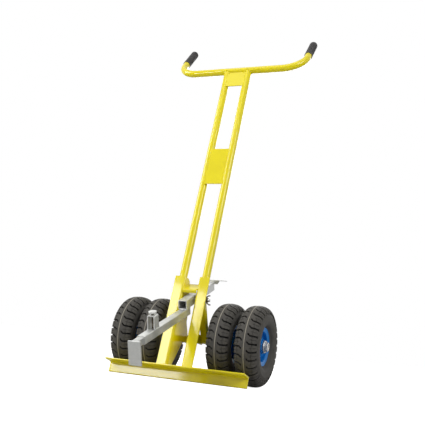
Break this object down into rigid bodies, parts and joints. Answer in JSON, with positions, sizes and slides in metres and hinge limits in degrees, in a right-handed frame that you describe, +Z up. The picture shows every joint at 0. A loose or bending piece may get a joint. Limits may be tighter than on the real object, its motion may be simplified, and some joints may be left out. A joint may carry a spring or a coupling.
{
  "type": "tile trolley",
  "caption": "Two-handed steel trolley on paired wheels, with a toe bar and a pedal-lifted telescopic clamp arm that grips a stack of tiles against its uprights.",
  "frame": {"origin": "on the floor under the middle of the object's bounding box, with the trolley parked on its wheels and on the heel of its toe bar", "axes": "+Z up, -Y the side that takes the tiles, +X the user's right hand when standing behind the handlebar"},
  "size_m": [0.5472, 0.7282, 1.3315],
  "materials": {
    "yellow_paint": "gloss",
    "blue_paint": "gloss",
    "zinc": "satin",
    "steel": "satin",
    "dark_steel": "satin",
    "tyre": "matte",
    "grip": "satin"
  },
  "bodies": {
    "frame": {"toe_bar": "yellow_paint", "left_upright": "yellow_paint", "right_upright": "yellow_paint", "left_cheek": "yellow_paint", "right_cheek": "yellow_paint", "top_plate": "yellow_paint", "left_strut": "yellow_paint", "right_strut": "yellow_paint", "axle": "steel", "left_handle_tube": "yellow_paint", "right_handle_tube": "yellow_paint", "handlebar": "yellow_paint", "left_grip": "grip", "right_grip": "grip", "mid_plate": "yellow_paint", "top_gusset": "yellow_paint", "pivot_bolt": "steel", "left_pivot_bush": "steel", "right_pivot_bush": "steel", "left_pivot_washer": "steel", "right_pivot_washer": "steel", "left_axle_collar": "steel", "right_axle_collar": "steel", "left_wheel_spacer": "steel", "right_wheel_spacer": "steel", "left_axle_washer": "steel", "right_axle_washer": "steel", "left_axle_nut": "steel", "right_axle_nut": "steel"},
    "left_inner_wheel": {"left_inner_tyre": "tyre", "left_inner_rim_right": "blue_paint", "left_inner_rim_left": "blue_paint", "left_inner_hub": "steel"},
    "left_outer_wheel": {"left_outer_tyre": "tyre", "left_outer_rim_right": "blue_paint", "left_outer_rim_left": "blue_paint", "left_outer_hub": "steel"},
    "right_inner_wheel": {"right_inner_tyre": "tyre", "right_inner_rim_right": "blue_paint", "right_inner_rim_left": "blue_paint", "right_inner_hub": "steel"},
    "right_outer_wheel": {"right_outer_tyre": "tyre", "right_outer_rim_right": "blue_paint", "right_outer_rim_left": "blue_paint", "right_outer_hub": "steel"},
    "rocker": {"rocker_tube": "zinc", "pivot_sleeve": "zinc", "arm_tube": "zinc", "pedal_rib": "zinc", "foot_plate": "zinc", "screw_bridge": "zinc"},
    "clamp": {"inner_arm": "zinc", "clamp_plate": "zinc"},
    "lock": {"lock_screw": "dark_steel", "lock_disc": "zinc"},
    "wing": {"wing_nut": "dark_steel"}
  },
  "joints": [
    {"name": "left_inner_wheel_spin", "type": "hinge", "parent": "frame", "child": "left_inner_wheel", "pos_m": [-0.125, 0.05936, 0.13], "axis": [1, 0, 0], "continuous": true},
    {"name": "left_outer_wheel_spin", "type": "hinge", "parent": "frame", "child": "left_outer_wheel", "pos_m": [-0.221, 0.05936, 0.13], "axis": [1, 0, 0], "continuous": true},
    {"name": "right_inner_wheel_spin", "type": "hinge", "parent": "frame", "child": "right_inner_wheel", "pos_m": [0.125, 0.05936, 0.13], "axis": [1, 0, 0], "continuous": true},
    {"name": "right_outer_wheel_spin", "type": "hinge", "parent": "frame", "child": "right_outer_wheel", "pos_m": [0.221, 0.05936, 0.13], "axis": [1, 0, 0], "continuous": true},
    {"name": "rocker_tilt", "type": "hinge", "parent": "frame", "child": "rocker", "pos_m": [0, -0.00102, 0.26192], "axis": [1, 0, 0], "range_deg": [-20, 4]},
    {"name": "clamp_reach", "type": "slide", "parent": "rocker", "child": "clamp", "axis": [0, -0.9397, -0.342], "range_m": [-0.034, 0.08]},
    {"name": "lock_turn", "type": "hinge", "parent": "rocker", "child": "lock", "pos_m": [0, -0.25423, 0.15186], "axis": [0, -0.342, 0.9397], "range_deg": [-180, 180]},
    {"name": "wing_turn", "type": "hinge", "parent": "frame", "child": "wing", "pos_m": [0.055, -0.00102, 0.26192], "axis": [1, 0, 0], "range_deg": [-180, 180]}
  ]
}
